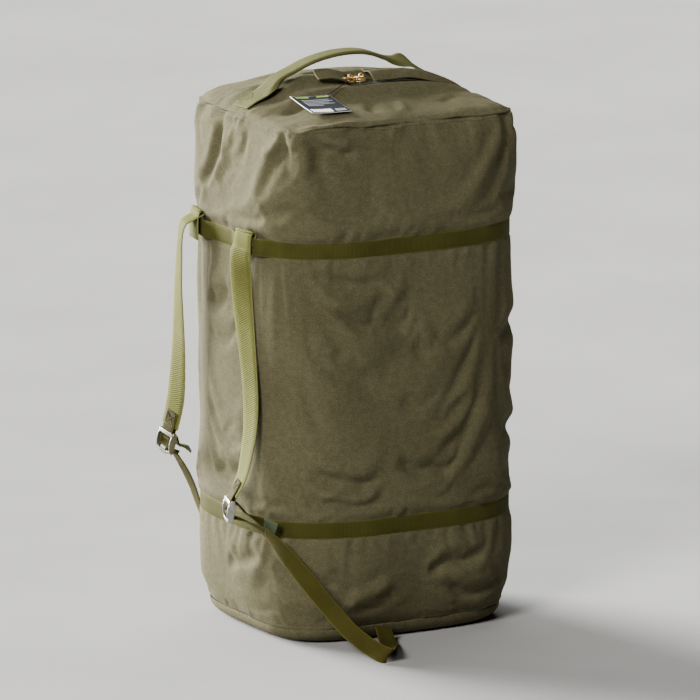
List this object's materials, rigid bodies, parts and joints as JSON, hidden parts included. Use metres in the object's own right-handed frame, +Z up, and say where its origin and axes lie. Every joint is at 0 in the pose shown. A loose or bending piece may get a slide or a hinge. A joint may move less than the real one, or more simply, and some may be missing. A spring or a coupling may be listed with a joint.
{
  "type": "duffel bag",
  "caption": "Stuffed canvas duffel bag standing on end, with webbing bands, a zip over one narrow face, a carry handle on top and backpack straps with ladder-lock buckles.",
  "frame": {"origin": "centre of the base, on the floor", "axes": "+Z up along the bag; the zip runs up the +X narrow face and the straps hang on the -X narrow face; -Y is the wide front face"},
  "size_m": [0.4756, 0.5252, 0.8303],
  "materials": {
    "canvas": "olive drab plain-weave canvas, matt",
    "webbing": "yellowish olive woven webbing with crosswise ribs",
    "zip_tape": "dark olive woven tape",
    "zip_teeth": "dark coil teeth",
    "brass": "bright pressed brass",
    "steel": "nickel-plated pressed steel",
    "tag_card": "coated navy card",
    "tag_string": "black cord"
  },
  "bodies": {
    "bag": {"body_wrap": "canvas", "top_panel": "canvas", "bottom_panel": "canvas", "storm_flap": "canvas", "zip_tongue": "canvas", "zip_tape_front": "zip_tape", "zip_tape_back": "zip_tape", "zip_chain": "zip_teeth", "lower_band": "webbing", "upper_band": "webbing", "handle_end_left": "webbing", "handle_end_right": "webbing", "strap_tab_near": "webbing", "lower_strap_near": "webbing", "strap_tab_far": "webbing", "lower_strap_far": "webbing"},
    "handle": {"handle_grip": "webbing"},
    "slider_lower": {"slider_lower": "brass", "tag_string": "tag_string"},
    "pull_lower": {"pull_lower": "brass"},
    "slider_upper": {"slider_upper": "brass"},
    "pull_upper": {"pull_upper": "brass"},
    "tag": {"hang_tag": "tag_card"},
    "strap_near": {"shoulder_strap_near": "webbing", "buckle_loop_near": "webbing"},
    "buckle_near": {"buckle_near": "steel"},
    "strap_far": {"shoulder_strap_far": "webbing", "buckle_loop_far": "webbing"},
    "buckle_far": {"buckle_far": "steel"}
  },
  "joints": [
    {"name": "handle_swing", "type": "hinge", "parent": "bag", "child": "handle", "pos_m": [0, 0.038, 0.79578], "axis": [0.9932, 0.116, 0.0024], "range_deg": [-40, 40]},
    {"name": "slider_lower_slide", "type": "slide", "parent": "bag", "child": "slider_lower", "axis": [1, 0, 0], "range_m": [0, 0.06], "deforming": ["storm_flap"]},
    {"name": "slider_upper_slide", "type": "slide", "parent": "bag", "child": "slider_upper", "axis": [1, 0, 0], "range_m": [0, 0.06]},
    {"name": "pull_upper_turn", "type": "hinge", "parent": "slider_upper", "child": "pull_upper", "pos_m": [0, 0, 0.79426], "axis": [0, 1, 0], "range_deg": [0, 75]},
    {"name": "pull_lower_turn", "type": "hinge", "parent": "slider_lower", "child": "pull_lower", "pos_m": [0.018, 0, 0.79426], "axis": [0, 1, 0], "range_deg": [0, 75], "deforming": ["tag_string"]},
    {"name": "tag_lift", "type": "hinge", "parent": "slider_lower", "child": "tag", "pos_m": [-0.094, -0.0364, 0.78929], "axis": [-0.9949, 0.0994, -0.0166], "range_deg": [0, 70], "deforming": ["tag_string"]},
    {"name": "strap_near_swing", "type": "hinge", "parent": "bag", "child": "strap_near", "pos_m": [-0.21337, -0.06222, 0.5966], "axis": [-0.1564, 0.9877, 0], "range_deg": [0, 25], "deforming": ["lower_strap_near"]},
    {"name": "buckle_near_turn", "type": "hinge", "parent": "strap_near", "child": "buckle_near", "pos_m": [-0.24398, -0.07349, 0.21184], "axis": [-0.2695, -0.9609, -0.0633], "range_deg": [-15, 15], "deforming": ["lower_strap_near"]},
    {"name": "strap_far_swing", "type": "hinge", "parent": "bag", "child": "strap_far", "pos_m": [-0.21043, 0.08835, 0.6016], "axis": [0.1736, 0.9848, 0], "range_deg": [0, 25], "deforming": ["lower_strap_far"]},
    {"name": "buckle_far_turn", "type": "hinge", "parent": "strap_far", "child": "buckle_far", "pos_m": [-0.2426, 0.11775, 0.27424], "axis": [0.1337, -0.9684, -0.2105], "range_deg": [-15, 15], "deforming": ["lower_strap_far"]}
  ],
  "couplings": [
    {"joint": "slider_upper_slide", "follows": "slider_lower_slide", "ratio": 1}
  ]
}
